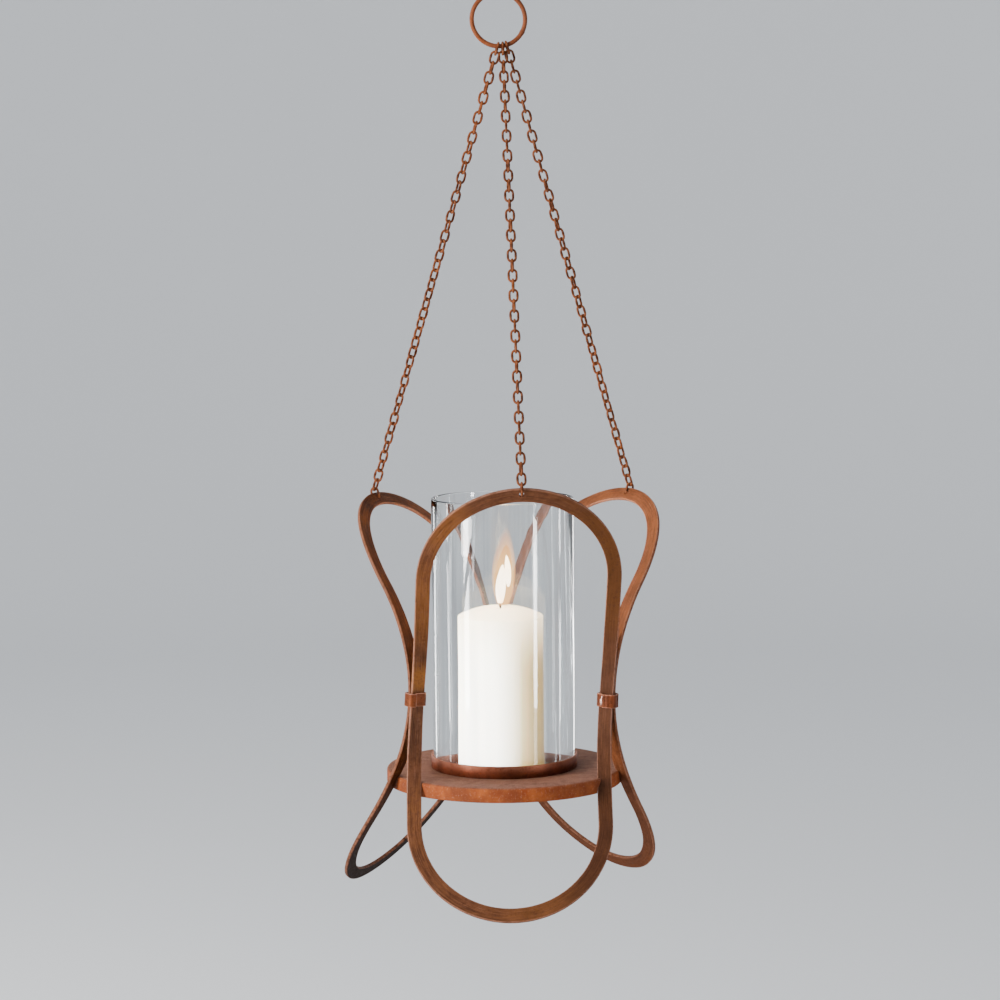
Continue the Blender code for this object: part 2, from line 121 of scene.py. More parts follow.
# Sheet, glass and wax
TRAY_SHEET = 0.0016
TRAY_BEND = 0.0022
TRAY_EDGE = 0.0004
NOTCH_CLEARANCE = 0.0002
NOTCH_REACH = 0.006
HOLDER_WALL = 0.0015
HOLDER_EDGE = 0.00045
GLASS_WALL = 0.0026
CANDLE_DOME = 0.0065
CANDLE_FOOT = 0.0025
CANDLE_EDGE = 0.0015
# Candle's top from its edge inwards: share of the radius, rise above the side
CANDLE_RISES = ((0.84, 0.0019), (0.70, 0.0039), (0.56, 0.0054), (0.44, 0.0062), (0.32, 0.0065),
                (0.20, 0.0063), (0.12, 0.0054))
WICK_HOLE = ((0.0022, 0.0046), (0.0, 0.0044))
WICK_LEAN = 0.0022
FLAME_SINK = 0.0085              # the flame starts this far below the wick's tip
# Flame colours at foot, middle and tip
CORE_COLOURS = ((1.0, 0.70, 0.42), (1.0, 0.90, 0.70), (1.0, 0.80, 0.50))
HALO_COLOURS = ((1.0, 0.50, 0.18), (1.0, 0.52, 0.18), (1.0, 0.42, 0.14))
HALO_SHELLS = 7
FLAME_POWER = 2.6
FLAME_COLOUR = (1.0, 0.62, 0.30)

# Camera: a long lens a little above the glass, turned slightly to the lantern's left
CAMERA_AZIMUTH = math.radians(-5.6)
CAMERA_DISTANCE = 2.5
CAMERA_HEIGHT = -0.1909
CAMERA_DOWN = math.radians(5.78)
CAMERA_ROLL = math.radians(0.46)
CAMERA_ASIDE = -0.002
CAMERA_LENS = 101.7

# Rust: dark, base, warm and worn colour of each piece; the worn colour on the corners is wear and partly a
# painted edge highlight
RUST_SHEEN = 0.035               # rust is duller than bare metal
GOLDEN_RUST = (0.30, 0.105, 0.020)
RUST_COLOURS = {
    "front": ((0.036, 0.013, 0.0062), (0.128, 0.048, 0.0225), (0.205, 0.075, 0.026), (0.38, 0.18, 0.12)),
    # painted shade: the left loop's colours are set darker than those of the front and right loops
    "left": ((0.010, 0.0030, 0.0010), (0.084, 0.023, 0.0050), (0.155, 0.043, 0.0070), (0.36, 0.15, 0.09)),
    "right": ((0.040, 0.012, 0.0048), (0.132, 0.041, 0.0150), (0.20, 0.061, 0.018), (0.40, 0.18, 0.11)),
    "ring": ((0.024, 0.0060, 0.002), (0.120, 0.029, 0.0085), (0.24, 0.060, 0.014), (0.42, 0.15, 0.08)),
    "chain": ((0.004, 0.0010, 0.0004), (0.068, 0.015, 0.0030), (0.22, 0.050, 0.006), (0.46, 0.16, 0.07)),
    "strap": ((0.018, 0.005, 0.002), (0.115, 0.029, 0.010), (0.19, 0.054, 0.015), (0.44, 0.19, 0.12)),
    "strap_weld": ((0.06, 0.018, 0.010), (0.24, 0.10, 0.06), (0.42, 0.24, 0.18), (0.66, 0.50, 0.46)),
    "tray_bead": ((0.05, 0.016, 0.010), (0.16, 0.06, 0.035), (0.26, 0.11, 0.07), (0.42, 0.25, 0.18)),
    "holder": ((0.022, 0.006, 0.0025), (0.110, 0.027, 0.012), (0.18, 0.050, 0.018), (0.34, 0.13, 0.075)),
}
# Golden patches on the front loop, over its left strap, on both shoulders and at its foot:
# side (-1 to 1) and height in the flat pattern, reach, strength
GOLDEN_SPOTS = (
    (-1.0, 0.022, 0.017, 0.85), (-1.0, 0.085, 0.05, 0.35), (1.0, 0.105, 0.055, 0.45),
    (0.83, 0.157, 0.04, 0.5), (-0.75, 0.166, 0.03, 0.4), (0.3, -0.19, 0.05, 0.25),
)

# Stage, and the narrow lights that draw streaks down the glass: azimuth from the front towards the
# right in degrees, width, power
FLOOR_DROP = 0.35                # floor below the lantern's lowest point
COVE_RADIUS = 6.5
COVE_BEND = 2.8
COVE_WALL = 3.5
WORLD_COLOUR = (0.86, 0.90, 0.96, 1.0)
WORLD_STRENGTH = 0.75
STRIP_DISTANCE = 1.9
STRIP_HEIGHT = 1.5
STRIPS = (
    ("strip_front_left", -66, 0.30, 80.0),
    ("strip_front_right", 47, 0.20, 50.0),
    ("strip_left", -104, 0.10, 12.0),
    ("strip_right", 98, 0.10, 12.0),
    ("strip_back_left", -150, 0.12, 10.0),
    ("strip_back_right", 154, 0.10, 9.0),
)

random.seed(7)


# ---------------------------------------------------------------- meshes

def place(name, mesh, mat, body, replaced=()):
    """Make a mesh one piece: its material, the body it moves with and the nodes it stands for."""
    obj = bpy.data.objects.new(name, mesh)
    bpy.context.scene.collection.objects.link(obj)
    mesh.materials.append(mat)
    mesh.shade_smooth()
    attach(obj, body)
    if replaced:
        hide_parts(*replaced)
    return obj


def body_of_node(node):
    return next(body for body, nodes in frame["record"]["behaviour"]["bodies"].items() if node in nodes)


def centre_of(node):
    low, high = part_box(node)
    return (low + high) / 2


def add_sweep(data, sections, wear=None, strip=None, closed=True, caps=False):
    """Skin a row of equal closed sections into quads, collected in data with their attributes."""
    sections = np.asarray(sections, float)
    count, sides = sections.shape[:2]
    start = sum(len(block) for block in data["points"])
    data["points"].append(sections.reshape(-1, 3))
    wear = np.zeros((count, sides)) if wear is None else np.broadcast_to(wear, (count, sides))
    data["wear"].append(wear.reshape(-1))
    strip = sections if strip is None else strip
    data["strip"].append(np.asarray(strip, float).reshape(-1, 3))
    for i in range(count if closed else count - 1):
        a, b = start + i * sides, start + (i + 1) % count * sides
        for s in range(sides):
            n = (s + 1) % sides
            data["faces"].append((a + s, a + n, b + n, b + s))
    if caps:
        data["faces"].append(tuple(start + s for s in reversed(range(sides))))
        data["faces"].append(tuple(start + (count - 1) * sides + s for s in range(sides)))


def new_data():
    return {"points": [], "faces": [], "wear": [], "strip": []}


def finish_mesh(name, data, weld=False):
    """Build the mesh, turn its faces outwards and store wear (0 to 1) and strip coordinates on its points."""
    mesh = bpy.data.meshes.new(name)
    mesh.from_pydata(np.concatenate(data["points"]).tolist(), [], data["faces"])
    layer = mesh.attributes.new("wear", "FLOAT", "POINT")
    layer.data.foreach_set("value", np.concatenate(data["wear"]).astype(np.float32))
    layer = mesh.attributes.new("strip", "FLOAT_VECTOR", "POINT")
    layer.data.foreach_set("vector", np.concatenate(data["strip"]).astype(np.float32).reshape(-1))
    bm = bmesh.new()
    bm.from_mesh(mesh)
    if weld:
        bmesh.ops.remove_doubles(bm, verts=bm.verts, dist=1e-7)
    bmesh.ops.recalc_face_normals(bm, faces=bm.faces)
    bm.to_mesh(mesh)
    bm.free()
    return mesh


def lathe(name, profile, steps, wear=None, wobble=0.0):
    """Turn a closed outline of (radius, height) points about Z; points on the axis are merged."""
    data = new_data()
    angles = np.arange(steps) * 2 * math.pi / steps
    radius = np.array([p[0] for p in profile])
    height = np.array([p[1] for p in profile])
    sections = np.zeros((steps, len(profile), 3))
    for k, a in enumerate(angles):
        swell = 1 + wobble * noise.noise(Vector((2 * math.cos(a), 2 * math.sin(a), 0)))
        sections[k, :, 0] = radius * swell * math.cos(a)
        sections[k, :, 1] = radius * swell * math.sin(a)
        sections[k, :, 2] = height
    add_sweep(data, sections, None if wear is None else np.array(wear)[None, :])
    return finish_mesh(name, data, weld=True)


def arc(centre, radius, start, end, steps):
    """Points on an arc, angles in degrees."""
    turns = np.radians(np.linspace(start, end, steps + 1))
    return [(centre[0] + radius * math.cos(t), centre[1] + radius * math.sin(t)) for t in turns]


def rounded_bar(width, thickness, corner, face_steps=5, corner_steps=3):
    """Outline of a flat bar with rounded corners, and its wear: 1 on the corners, 0 on the flats."""
    outline, wear = [], []
    for quadrant, (sx, sy) in enumerate(((1, 1), (-1, 1), (-1, -1), (1, -1))):
        middle = (sx * (width / 2 - corner), sy * (thickness / 2 - corner))
        outline += arc(middle, corner, 90 * quadrant, 90 * (quadrant + 1), corner_steps)
        wear += [1.0] * (corner_steps + 1)
        if quadrant in (0, 2):
            flat = width - 2 * corner
            shares = [0.035] + [k / face_steps for k in range(1, face_steps)] + [0.965]
            for share in shares:
                outline.append((middle[0] - sx * flat * share, sy * thickness / 2))
                wear.append(0.0)
    return np.array(outline), np.array(wear)


def wire_circle(radius, sides):
    return np.array([(radius * math.cos(2 * math.pi * s / sides), radius * math.sin(2 * math.pi * s / sides))
                     for s in range(sides)])


def cut(obj, tool):
    """Take a closed mesh out of a piece and forget the tool."""
    cutter = bpy.data.objects.new("cutter", tool)
    bpy.context.scene.collection.objects.link(cutter)
    modifier = obj.modifiers.new("cut", "BOOLEAN")
    modifier.object = cutter
    modifier.solver = "EXACT"
    bpy.context.view_layer.update()
    evaluated = obj.evaluated_get(bpy.context.evaluated_depsgraph_get())
    mesh = bpy.data.meshes.new_from_object(evaluated)
    obj.modifiers.clear()
    obj.data = mesh
    bpy.data.objects.remove(cutter)


# ---------------------------------------------------------------- materials

class Paint:
    """A node material whose colours and roughness come from noises over the surface."""

    def __init__(self, name, **values):
        self.material = bpy.data.materials.new(name)
        self.material.use_nodes = True
        self.tree = self.material.node_tree
        self.shader = self.tree.nodes["Principled BSDF"]
        self.output = self.tree.nodes["Material Output"]
        self.object_space = self.node("ShaderNodeTexCoord").outputs["Object"]
        for socket, value in values.items():
            self.shader.inputs[socket.replace("_", " ")].default_value = value

    def node(self, kind, inputs=None, **settings):
        made = self.tree.nodes.new(kind)
        for key, value in settings.items():
            setattr(made, key, value)
        for key, value in (inputs or {}).items():
            self.feed(made.inputs[key], value)
        return made

    def feed(self, socket, value):
        if isinstance(value, bpy.types.NodeSocket):
            self.tree.links.new(value, socket)
        else:
            socket.default_value = value

    def axis(self, name):
        """X, Y or Z of the point in the piece's own space."""
        return self.node("ShaderNodeSeparateXYZ", {"Vector": self.object_space}).outputs[name]

    def attribute(self, name, output="Fac"):
        return self.node("ShaderNodeAttribute", attribute_name=name).outputs[output]

    def stretch(self, vector, scale):
        return self.node("ShaderNodeMapping", {"Vector": vector, "Scale": scale}).outputs["Vector"]

    def noise(self, scale, detail=4.0, roughness=0.6, vector=None, distortion=0.0):
        inputs = {"Vector": vector or self.object_space, "Scale": scale, "Detail": detail,
                  "Roughness": roughness, "Distortion": distortion}
        return self.node("ShaderNodeTexNoise", inputs).outputs["Fac"]

    def ramp(self, value, low, high, start=0.0, end=1.0):
        """Map low..high to start..end, clamped."""
        inputs = {"Value": value, "From Min": low, "From Max": high, "To Min": start, "To Max": end}
        return self.node("ShaderNodeMapRange", inputs, clamp=True).outputs["Result"]

    def maths(self, operation, a, b):
        return self.node("ShaderNodeMath", {0: a, 1: b}, operation=operation).outputs["Value"]

    def mix(self, factor, a, b, blend="MIX"):
        made = self.node("ShaderNodeMix", data_type="RGBA", blend_type=blend)
        self.feed(made.inputs["Factor"], factor)
        for socket, colour in ((made.inputs["A"], a), (made.inputs["B"], b)):
            colours = [s for s in made.inputs if s.name == socket.name and s.type == "RGBA"]
            self.feed(colours[0], colour if isinstance(colour, bpy.types.NodeSocket) else (*colour, 1.0))
        return [s for s in made.outputs if s.type == "RGBA"][0]

    def bump(self, height, strength, distance, under=None):
        inputs = {"Height": height, "Strength": strength, "Distance": distance}
        if under is not None:
            inputs["Normal"] = under
        return self.node("ShaderNodeBump", inputs).outputs["Normal"]

    def set(self, **values):
        for socket, value in values.items():
            self.feed(self.shader.inputs[socket.replace("_", " ")], value)


def rust(name, colours, wear_and_highlight_amount=0.55, grain=1.0, streaks=True, metallic=0.0, rough=0.62,
         golden=(), deep=0.45, painted_low_shade=0.0, painted_right_shade=0.0):
    """Rusted steel: patches of dark, base and warm rust, streaks along the bar, and corners in the worn
    colour, which is wear and partly a painted edge highlight; painted shade can darken it towards the bottom
    and towards the right.
    """
    dark, base, warm, worn = colours
    paint = Paint(name)
    patches = paint.noise(42.0, 5.0, 0.6, distortion=0.4)
    mottle = paint.noise(330.0, 5.0, 0.65)
    grit = paint.noise(1500.0, 3.0, 0.7)
    colour = paint.mix(paint.ramp(patches, 0.34, 0.56, 0.55, 0.0), base, dark)
    wide_patches = paint.ramp(paint.noise(17.0, 4.0, 0.55), 0.5, 0.68)
    blooms = paint.maths("MULTIPLY", wide_patches, paint.ramp(mottle, 0.35, 0.6))
    colour = paint.mix(blooms, colour, warm)
    if streaks:
        along = paint.stretch(paint.attribute("strip", "Vector"), (900.0, 42.0, 42.0))
        lines = paint.noise(1.0, 5.0, 0.65, vector=along)
        colour = paint.mix(paint.ramp(lines, 0.50, 0.66, 0.0, 0.75), colour, dark)
        colour = paint.mix(paint.ramp(lines, 0.46, 0.34, 0.0, 0.55), colour, warm)
        threads = paint.noise(1.0, 3.0, 0.6, vector=paint.stretch(along, (2.6, 1.4, 1.4)))
        colour = paint.mix(paint.ramp(threads, 0.58, 0.72, 0.0, 0.6), colour, dark)
        colour = paint.mix(paint.ramp(threads, 0.40, 0.28, 0.0, 0.4), colour, worn)
    for spot, reach, amount in golden:
        away = paint.node("ShaderNodeVectorMath", {0: paint.object_space, 1: spot}, operation="DISTANCE")
        near = paint.ramp(away.outputs["Value"], reach * 0.35, reach, amount, 0.0)
        near = paint.maths("MULTIPLY", near, paint.ramp(mottle, 0.38, 0.56, 0.35, 1.0))
        colour = paint.mix(near, colour, GOLDEN_RUST)
    colour = paint.mix(paint.ramp(mottle, 0.50, 0.68, 0.0, deep), colour, dark)
    # painted shade: darker towards the right, from object X 0.02 outwards
    if painted_right_shade:
        rightward = paint.axis("X")
        colour = paint.mix(paint.ramp(rightward, 0.02, 0.065, 0.0, painted_right_shade), colour, dark)
    # painted shade: darker towards the bottom, from below the waist down to the feet
    if painted_low_shade:
        height = paint.axis("Z")
        colour = paint.mix(paint.ramp(height, WAIST_Z - 0.04, cad_low.z + 0.03, 0.0, painted_low_shade), colour, dark)
    # corners in the worn colour: real wear, and partly a painted edge highlight
    worn_edges_and_highlight = paint.maths("MULTIPLY", paint.attribute("wear"), paint.ramp(mottle, 0.3, 0.55))
    worn_edges_and_highlight = paint.maths("MULTIPLY", worn_edges_and_highlight, wear_and_highlight_amount)
    colour = paint.mix(worn_edges_and_highlight, colour, worn)
    roughness = paint.ramp(mottle, 0.3, 0.7, rough - 0.12, rough + 0.16)
    normal = paint.bump(mottle, 0.25 * grain, 0.0006)
    if streaks:
        normal = paint.bump(lines, 0.3, 0.0003, normal)
    normal = paint.bump(grit, 0.35 * grain, 0.00025, normal)
    paint.set(Base_Color=colour, Roughness=roughness, Metallic=metallic, Normal=normal)
    paint.set(Specular_IOR_Level=RUST_SHEEN)
    return paint.material


def tray_rust():
    """Brown mottled sheet, with an orange rim where the heat tint shows."""
    paint = Paint("tray_rust")
    mottle = paint.noise(120.0, 6.0, 0.65)
    fine = paint.noise(600.0, 5.0, 0.7)
    patches = paint.noise(24.0, 4.0, 0.55, distortion=0.6)
    top = paint.mix(paint.ramp(mottle, 0.35, 0.65), (0.100, 0.042, 0.026), (0.185, 0.084, 0.055))
    top = paint.mix(paint.ramp(patches, 0.45, 0.7, 0.0, 0.6), top, (0.215, 0.094, 0.056))
    top = paint.mix(paint.ramp(fine, 0.58, 0.68, 0.0, 0.8), top, (0.33, 0.19, 0.14))
    top = paint.mix(paint.ramp(fine, 0.44, 0.34, 0.0, 0.8), top, (0.040, 0.015, 0.009))
    rim = paint.mix(paint.ramp(mottle, 0.35, 0.65), (0.20, 0.042, 0.012), (0.30, 0.078, 0.019))
    rim = paint.mix(paint.ramp(patches, 0.4, 0.6, 0.0, 0.7), rim, (0.11, 0.030, 0.013))
    rim = paint.mix(paint.ramp(fine, 0.56, 0.68, 0.0, 0.5), rim, (0.36, 0.16, 0.11))
    colour = paint.mix(paint.attribute("wear"), top, rim)
    roughness = paint.ramp(fine, 0.3, 0.7, 0.55, 0.85)
    normal = paint.bump(fine, 0.4, 0.0005, paint.bump(mottle, 0.2, 0.001))
    paint.set(Base_Color=colour, Roughness=roughness, Normal=normal)
    paint.set(Specular_IOR_Level=RUST_SHEEN)
    return paint.material


def clear_glass():
    """Clear glass that lets the lamps light what stands inside it."""
    paint = Paint("clear_glass", Roughness=0.0, IOR=1.47, Transmission_Weight=1.0)
    seeds = paint.noise(55.0, 2.0, 0.4, vector=paint.stretch(paint.object_space, (1.0, 1.0, 0.06)))
    reams = paint.noise(1.0, 4.0, 0.6, vector=paint.stretch(paint.object_space, (210.0, 210.0, 2.2)))
    tint = paint.mix(paint.ramp(reams, 0.40, 0.62), (0.975, 0.985, 0.98), (0.86, 0.885, 0.90))
    paint.set(Base_Color=tint, Normal=paint.bump(seeds, 0.16, 0.0012))
    through = paint.node("ShaderNodeBsdfTransparent", {"Color": (0.96, 0.97, 0.97, 1.0)})
    path = paint.node("ShaderNodeLightPath")
    blend = paint.node("ShaderNodeMixShader", {0: path.outputs["Is Shadow Ray"]})
    paint.tree.links.new(paint.shader.outputs[0], blend.inputs[1])
    paint.tree.links.new(through.outputs[0], blend.inputs[2])
    paint.tree.links.new(blend.outputs[0], paint.output.inputs["Surface"])
    return paint.material


def candle_wax(top_z, axis_x, radius):
    """Ivory wax with painted light: emission paints its left and middle bright white, a cream glow further
    right and a warm glow near the top under the flame; its colour turns darker brown-cream on its right side
    as painted shade.
    """
    paint = Paint("candle_wax", Subsurface_Weight=0.35, Subsurface_Scale=0.006, Roughness=0.45)
    paint.shader.inputs["Subsurface Radius"].default_value = (1.0, 0.62, 0.36)
    clouds = paint.noise(35.0, 3.0, 0.5)
    fine = paint.noise(420.0, 3.0, 0.6)
    colour = paint.mix(paint.ramp(clouds, 0.35, 0.7), (0.86, 0.70, 0.44), (0.90, 0.76, 0.50))
    across = paint.axis("X")
    # painted shade: the colour turns darker brown-cream across the right side
    painted_shade_side = paint.ramp(across, axis_x + 0.05 * radius, axis_x + 0.80 * radius)
    colour = paint.mix(painted_shade_side, colour, (0.28, 0.160, 0.030))
    # painted light: emission, bright white on the left and middle, cream further right, none at the right
    # edge
    painted_cream_side = paint.ramp(across, axis_x + 1.05 * radius, axis_x + 0.20 * radius)
    painted_cream_glow = paint.mix(painted_cream_side, (0.0, 0.0, 0.0), (0.9, 0.62, 0.12))
    painted_bright_side = paint.ramp(across, axis_x + 0.40 * radius, axis_x - 0.20 * radius)
    light = paint.mix(painted_bright_side, painted_cream_glow, (4.5, 4.7, 4.8))
    # painted light: a warm glow near the top, standing in for the flame's light in the wax
    glow = paint.maths("POWER", paint.ramp(paint.axis("Z"), top_z - 0.06, top_z + 0.002), 2.0)
    light = paint.mix(glow, light, (3.6, 2.9, 2.0))
    normal = paint.bump(fine, 0.12, 0.0004, paint.bump(clouds, 0.15, 0.002))
    paint.set(Base_Color=colour, Emission_Color=light, Emission_Strength=1.0, Normal=normal)
    return paint.material


def charred_cotton():
    paint = Paint("charred_cotton", Roughness=0.95)
    twist = paint.noise(900.0, 3.0, 0.6)
    colour = paint.mix(paint.ramp(twist, 0.4, 0.6), (0.012, 0.010, 0.009), (0.06, 0.045, 0.035))
    paint.set(Base_Color=colour, Normal=paint.bump(twist, 0.6, 0.0005))
    return paint.material


def flame_light(name, low_z, high_z, colours, strength, opacity):
    """Glowing gas, its colour changing from foot to tip."""
    foot_colour, middle_colour, tip_colour = colours
    paint = Paint(name, Roughness=1.0)
    rise = paint.ramp(paint.axis("Z"), low_z, high_z)
    colour = paint.mix(paint.ramp(rise, 0.0, 0.2), foot_colour, middle_colour)
    colour = paint.mix(paint.ramp(rise, 0.5, 1.0), colour, tip_colour)
    paint.set(Base_Color=(0.0, 0.0, 0.0, 1.0), Specular_IOR_Level=0.0)
    paint.set(Emission_Color=colour, Emission_Strength=strength)
    if opacity < 1.0:
        paint.set(Alpha=paint.ramp(rise, 0.45, 1.0, opacity, opacity * 0.3))
    return paint.material


# ---------------------------------------------------------------- loops

class Loop:
    """One bent loop: maps its flat pattern (u across, v up) to the lantern's own space."""

    def __init__(self, azimuth, leans, extra, tilt, drifts):
        self.out = Vector((math.cos(azimuth), math.sin(azimuth), 0))
        self.across = Vector((-math.sin(azimuth), math.cos(azimuth), 0))
        self.top = HALF_LENGTH + extra[0]
        self.bottom = -HALF_LENGTH - extra[1]
        self.v = np.linspace(1.1 * self.bottom, 1.1 * self.top, 801)
        rise = self.v - WAIST_RISE
        top = leans[0] * np.tanh(rise / TOP_BEND)
        bottom = leans[1] * np.tanh(rise / BOTTOM_BEND)
        self.lean = np.where(rise > 0, top, bottom)
        bulge = self.sum_along(np.sin(self.lean))
        rise = self.sum_along(np.cos(self.lean))
        self.radius = bulge + WAIST_RADIUS
        self.height = rise + WAIST_Z
        self.drift = tilt * rise + np.where(rise > 0, drifts[0], drifts[1]) * bulge
        self.tray_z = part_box("tray")[1].z

    def sum_along(self, slope):
        steps = (slope[1:] + slope[:-1]) / 2 * np.diff(self.v)
        total = np.concatenate(([0.0], np.cumsum(steps)))
        return total - np.interp(WAIST_RISE, self.v, total)

    def point(self, u, v):
        radius = float(np.interp(v, self.v, self.radius))
        height = float(np.interp(v, self.v, self.height))
        drift = float(np.interp(v, self.v, self.drift))
        skew = FRAME_LEAN * (height - self.tray_z)
        return self.out * radius + self.across * (u + drift) + UP * height + SIDEWAYS * skew

    def up(self, v):
        lean = float(np.interp(v, self.v, self.lean))
        return self.out * math.sin(lean) + UP * math.cos(lean)

    def bar_axes(self, v, edge):
        """Width and face directions of the bar; edge is its outward direction in the flat pattern."""
        up = self.up(v)
        face = self.across.cross(up)
        width = self.across * edge[0] + up * edge[1]
        twist = WAIST_TWIST * math.exp(-((v - WAIST_RISE) / TWIST_REACH) ** 2) * abs(edge[0])
        turned_width = width * math.cos(twist) + face * math.sin(twist)
        turned_face = face * math.cos(twist) - width * math.sin(twist)
        return turned_width, turned_face

    def stations(self, arc_steps=72, side_steps=64):
        """Middle line of the bar in the flat pattern, with its outward direction, from the foot's middle."""
        half = LOOP_HALF_WIDTH
        top_centre, bottom_centre = self.top - half, self.bottom + half
        line = []
        for k in range(arc_steps):
            a = math.pi * k / arc_steps
            line.append((half * math.cos(a), top_centre + half * math.sin(a), (math.cos(a), math.sin(a))))
        for k in range(side_steps):
            v = top_centre + (bottom_centre - top_centre) * k / side_steps
            line.append((-half, v, (-1.0, 0.0)))
        for k in range(arc_steps):
            a = math.pi * (1 + k / arc_steps)
            line.append((half * math.cos(a), bottom_centre + half * math.sin(a), (math.cos(a), math.sin(a))))
        for k in range(side_steps):
            v = bottom_centre + (top_centre - bottom_centre) * k / side_steps
            line.append((half, v, (1.0, 0.0)))
        return line

    def hole(self):
        v = self.top + BAR_WIDTH / 2 - HOLE_TO_EDGE
        up = self.up(v)
        return self.point(0, v), up, self.across.cross(up)

    def mesh(self, name, seed):
        """The bar with rounded corners and the slight unevenness of hand bending."""
        outline, wear = rounded_bar(BAR_WIDTH, BAR_THICKNESS, BAR_CORNER)
        stations = self.stations()
        length = 2 * math.pi * LOOP_HALF_WIDTH + 2 * (self.top - self.bottom - 2 * LOOP_HALF_WIDTH)
        coil = length / (2 * math.pi)
        sections, strips = [], []
        travelled = 0.0
        previous = None
        for u, v, edge in stations:
            middle = self.point(u, v)
            if previous is not None:
                travelled += (middle - previous).length
            previous = middle
            width, face = self.bar_axes(v, edge)
            uneven = noise.noise(Vector((middle.x * 30, middle.y * 30, middle.z * 30 + seed * 9)))
            middle = middle + face * 0.00025 * uneven
            broad = 1 + 0.012 * noise.noise(middle * 55 + Vector((seed * 3.1, 0, 0)))
            turn = 2 * math.pi * travelled / length
            section, strip = [], []
            for x, y in outline:
                section.append(middle + width * (x * broad) + face * y)
                strip.append((x + 0.4 * y + seed, coil * math.cos(turn), coil * math.sin(turn)))
            sections.append(section)
            strips.append(strip)
        data = new_data()
        add_sweep(data, sections, wear[None, :], strips)
        return finish_mesh(name, data)


def drill_mesh(at, up, out):
    """Tool for the chain's hole, with flared mouths that leave the hole's rim bevelled."""
    radius, reach = HOLE_DIAMETER / 2, BAR_THICKNESS / 2
    profile = [(radius + 0.0012, -reach - 0.0009), (radius, -reach + 0.0003), (radius, reach - 0.0003),
               (radius + 0.0012, reach + 0.0009)]
    side = up.cross(out)
    data = new_data()
    sections = []
    for r, h in profile:
        sections.append([at + side * x + up * y + out * h for x, y in wire_circle(r, 28)])
    add_sweep(data, sections, closed=False, caps=True)
    return finish_mesh("drill", data)


def golden_places():
    """Golden patches of the front loop in the lantern's own space."""
    front = Loop(*LOOPS["front"])
    return [(front.point(u * LOOP_HALF_WIDTH, v), reach, amount) for u, v, reach, amount in GOLDEN_SPOTS]


def build_loops():
    # painted shade: each loop is darker towards the bottom, and the front loop towards its right bar
    mats = {
        "front": rust("bar_rust_front", RUST_COLOURS["front"], wear_and_highlight_amount=0.45, golden=golden_places(),
                      painted_low_shade=0.22, painted_right_shade=0.62),
        "left": rust("bar_rust_left", RUST_COLOURS["left"], wear_and_highlight_amount=0.4, painted_low_shade=0.95),
        "right": rust("bar_rust_right", RUST_COLOURS["right"], wear_and_highlight_amount=0.4, painted_low_shade=0.55),
    }
    loops = {}
    for seed, (name, numbers) in enumerate(LOOPS.items()):
        loop = Loop(*numbers)
        loops[name] = loop
        obj = place(f"bar_loop_{name}", loop.mesh(f"bar_loop_{name}", seed), mats[name], "frame",
                    [f"loop_{name}"])
        cut(obj, drill_mesh(*loop.hole()))
        obj.data.shade_smooth()
        obj.data.set_sharp_from_angle(angle=SHARP_ANGLE)
    return loops


# ---------------------------------------------------------------- ring and chains

def build_ring():
    low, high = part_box("hanging_ring")
    wire = (high.y - low.y) / 2 / math.cos(math.pi / 8)
    radius = (high.x - low.x) / 2 - wire
    centre = (low + high) / 2
    data = new_data()
    sections = []
    for k in range(RING_STEPS):
        a = 2 * math.pi * k / RING_STEPS
        out = Vector((math.cos(a), 0, math.sin(a)))
        gap = (a - RING_WELD + math.pi) % (2 * math.pi) - math.pi
        swell = 1 + 0.22 * math.exp(-(gap / 0.055) ** 2) - 0.30 * math.exp(-(gap / 0.016) ** 2)
        oval = 1 + 0.006 * math.cos(2 * a + 0.6)
        section = []
        for x, y in wire_circle(wire * swell, 16):
            section.append(centre + out * (radius * oval + x) + Vector((0, y, 0)))
        sections.append(section)
    add_sweep(data, sections, 0.35)
    mat = rust("ring_rust", RUST_COLOURS["ring"], streaks=False, rough=0.5, deep=0.7)
    place("ring_wire", finish_mesh("ring_wire", data), mat, "ring", ["hanging_ring"])


def link_frame(node):
    """Centre, downward length direction, width direction and half length of a single link's solid."""
    points = np.array([v.co for v in frame["nodes"][node].data.vertices])
    centre = Vector(points.mean(0))
    points = points - points.mean(0)
    axes = np.linalg.svd(points, full_matrices=False)[2]
    down, wide = Vector(axes[0]), Vector(axes[1])
    if down.z > 0:
        down = -down
    spread = points @ np.array(down)
    return centre, down, wide, (spread.max() - spread.min()) / 2


def add_link(data, centre, down, wide, half_height, width, number):
    """A link of round wire: two half turns, straight sides and a swelling at its weld, on alternate sides."""
    flat = down.cross(wide).normalized()
    bend = (width - LINK_WIRE) / 2
    straight = half_height - bend
    line = []
    for sign, start in ((1, 0), (-1, 180)):
        for x, y in arc((0, sign * straight), bend, start, start + 180, 9):
            line.append((x, y))
        line.append((-sign * bend, 0.0))
    weld_at = np.array((bend if number % 2 else -bend, 0.0))
    sections = []
    count = len(line)
    for i, (x, y) in enumerate(line):
        before, after = np.array(line[i - 1]), np.array(line[(i + 1) % count])
        way = (after - before) / np.linalg.norm(after - before)
        out = wide * way[1] - down * way[0]
        swell = 1 + 0.16 * math.exp(-(np.linalg.norm(np.array((x, y)) - weld_at) / 0.0011) ** 2)
        middle = centre + wide * x + down * y
        wire = wire_circle(LINK_LOOK / 2, 9)
        sections.append([middle + out * (a * swell) + flat * (b * swell) for a, b in wire])
    ends = np.array([0.2 + 0.8 * (abs(y) > straight) for x, y in line])
    add_sweep(data, sections, ends[:, None])


